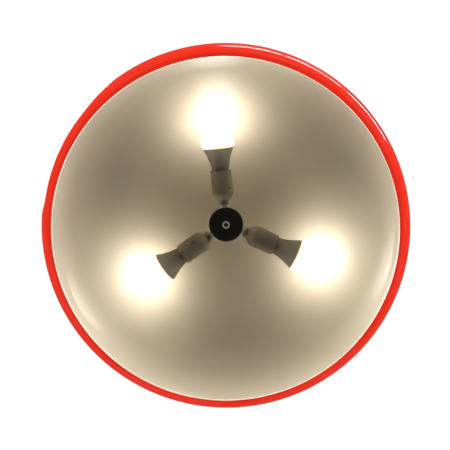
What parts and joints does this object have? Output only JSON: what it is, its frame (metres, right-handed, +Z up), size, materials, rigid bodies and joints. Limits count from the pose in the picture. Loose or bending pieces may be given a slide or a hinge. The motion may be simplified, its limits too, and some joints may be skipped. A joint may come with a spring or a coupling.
{
  "type": "dome pendant lamp",
  "caption": "Wide dome ceiling lamp, glossy red outside and white inside, with an in-turned lip and bulbs on arms round a central hub.",
  "frame": {"origin": "centre of the rim's plane, on the lamp's vertical axis", "axes": "+Z up along the threaded pipe towards the cord gland; the first arm points along +Y, the others at 210 and 330 degrees from +X"},
  "size_m": [0.6999, 0.7, 0.2869],
  "materials": {
    "shade_red": "high-gloss red acrylic skin outside, satin-gloss white inside",
    "bright_steel": "bright plated steel",
    "zinc_steel": "zinc plated steel, dull",
    "cover_black": "mirror-gloss black",
    "cup_white": "white gloss enamel",
    "holder_white": "moulded white thermoset, semi-matt",
    "housing_white": "moulded white polycarbonate over the heat sink",
    "globe_opal": "frosted opal polycarbonate, lit from inside",
    "contact_brass": "plain rolled brass",
    "solder_tip": "solder-tinned contact",
    "insulator_black": "black glass-like insulator",
    "insert_ceramic": "unglazed steatite",
    "gasket_rubber": "black EPDM",
    "gland_white": "moulded nylon",
    "board_white": "coated circuit board with soldered parts",
    "lead_silicone": "insulated single-core lead",
    "connector_nylon": "translucent nylon crimp cap"
  },
  "bodies": {
    "root": {"shade": "shade_red", "threaded_pipe": "zinc_steel", "pipe_spacer": "bright_steel", "inner_washer": "cup_white", "shade_gasket": "gasket_rubber", "outer_washer": "zinc_steel", "shade_nut": "zinc_steel", "hub_clamp_nut": "zinc_steel", "cover_cup": "cup_white", "gland_body": "gland_white", "cord_collet": "gasket_rubber", "gland_cap": "gland_white", "hub_body": "bright_steel", "arm_nipples": "zinc_steel", "arm_lock_nuts": "zinc_steel", "holder_grub_screws": "zinc_steel", "contact_screws": "contact_brass", "side_contacts": "contact_brass", "lead_connectors": "connector_nylon", "internal_leads": "lead_silicone", "holder_cap_1": "holder_white", "holder_skirt_1": "holder_white", "screw_shell_1": "contact_brass", "centre_contact_1": "contact_brass", "contact_insert_1": "insert_ceramic", "holder_cap_2": "holder_white", "holder_skirt_2": "holder_white", "screw_shell_2": "contact_brass", "centre_contact_2": "contact_brass", "contact_insert_2": "insert_ceramic", "holder_cap_3": "holder_white", "holder_skirt_3": "holder_white", "screw_shell_3": "contact_brass", "centre_contact_3": "contact_brass", "contact_insert_3": "insert_ceramic"},
    "hub_lid": {"hub_cover": "cover_black", "hub_bezel": "bright_steel", "hub_nut": "bright_steel"},
    "bulb_carrier_1": {"bulb_tip_1": "solder_tip"},
    "bulb_1": {"bulb_insulator_1": "insulator_black", "bulb_cap_1": "bright_steel", "bulb_housing_1": "housing_white", "led_board_1": "board_white", "driver_board_1": "board_white", "bulb_globe_1": "globe_opal"},
    "bulb_carrier_2": {"bulb_tip_2": "solder_tip"},
    "bulb_2": {"bulb_insulator_2": "insulator_black", "bulb_cap_2": "bright_steel", "bulb_housing_2": "housing_white", "led_board_2": "board_white", "driver_board_2": "board_white", "bulb_globe_2": "globe_opal"},
    "bulb_carrier_3": {"bulb_tip_3": "solder_tip"},
    "bulb_3": {"bulb_insulator_3": "insulator_black", "bulb_cap_3": "bright_steel", "bulb_housing_3": "housing_white", "led_board_3": "board_white", "driver_board_3": "board_white", "bulb_globe_3": "globe_opal"}
  },
  "joints": [
    {"name": "hub_lid_drop", "type": "slide", "parent": "root", "child": "hub_lid", "axis": [0, 0, -1], "range_m": [0, 0.06]},
    {"name": "bulb_1_travel", "type": "slide", "parent": "root", "child": "bulb_carrier_1", "axis": [0, 1, 0], "range_m": [0, 0.0256]},
    {"name": "bulb_1_turn", "type": "hinge", "parent": "bulb_carrier_1", "child": "bulb_1", "pos_m": [0, 0, 0.1143], "axis": [0, 1, 0], "range_deg": [0, 2520]},
    {"name": "bulb_2_travel", "type": "slide", "parent": "root", "child": "bulb_carrier_2", "axis": [-0.866, -0.5, 0], "range_m": [0, 0.0256]},
    {"name": "bulb_2_turn", "type": "hinge", "parent": "bulb_carrier_2", "child": "bulb_2", "pos_m": [0, 0, 0.1143], "axis": [-0.866, -0.5, 0], "range_deg": [0, 2520]},
    {"name": "bulb_3_travel", "type": "slide", "parent": "root", "child": "bulb_carrier_3", "axis": [0.866, -0.5, 0], "range_m": [0, 0.0256]},
    {"name": "bulb_3_turn", "type": "hinge", "parent": "bulb_carrier_3", "child": "bulb_3", "pos_m": [0, 0, 0.1143], "axis": [0.866, -0.5, 0], "range_deg": [0, 2520]}
  ],
  "couplings": [
    {"joint": "bulb_1_travel", "follows": "bulb_1_turn", "m_per_rad": 0.00057757},
    {"joint": "bulb_2_travel", "follows": "bulb_2_turn", "m_per_rad": 0.00057757},
    {"joint": "bulb_3_travel", "follows": "bulb_3_turn", "m_per_rad": 0.00057757}
  ]
}
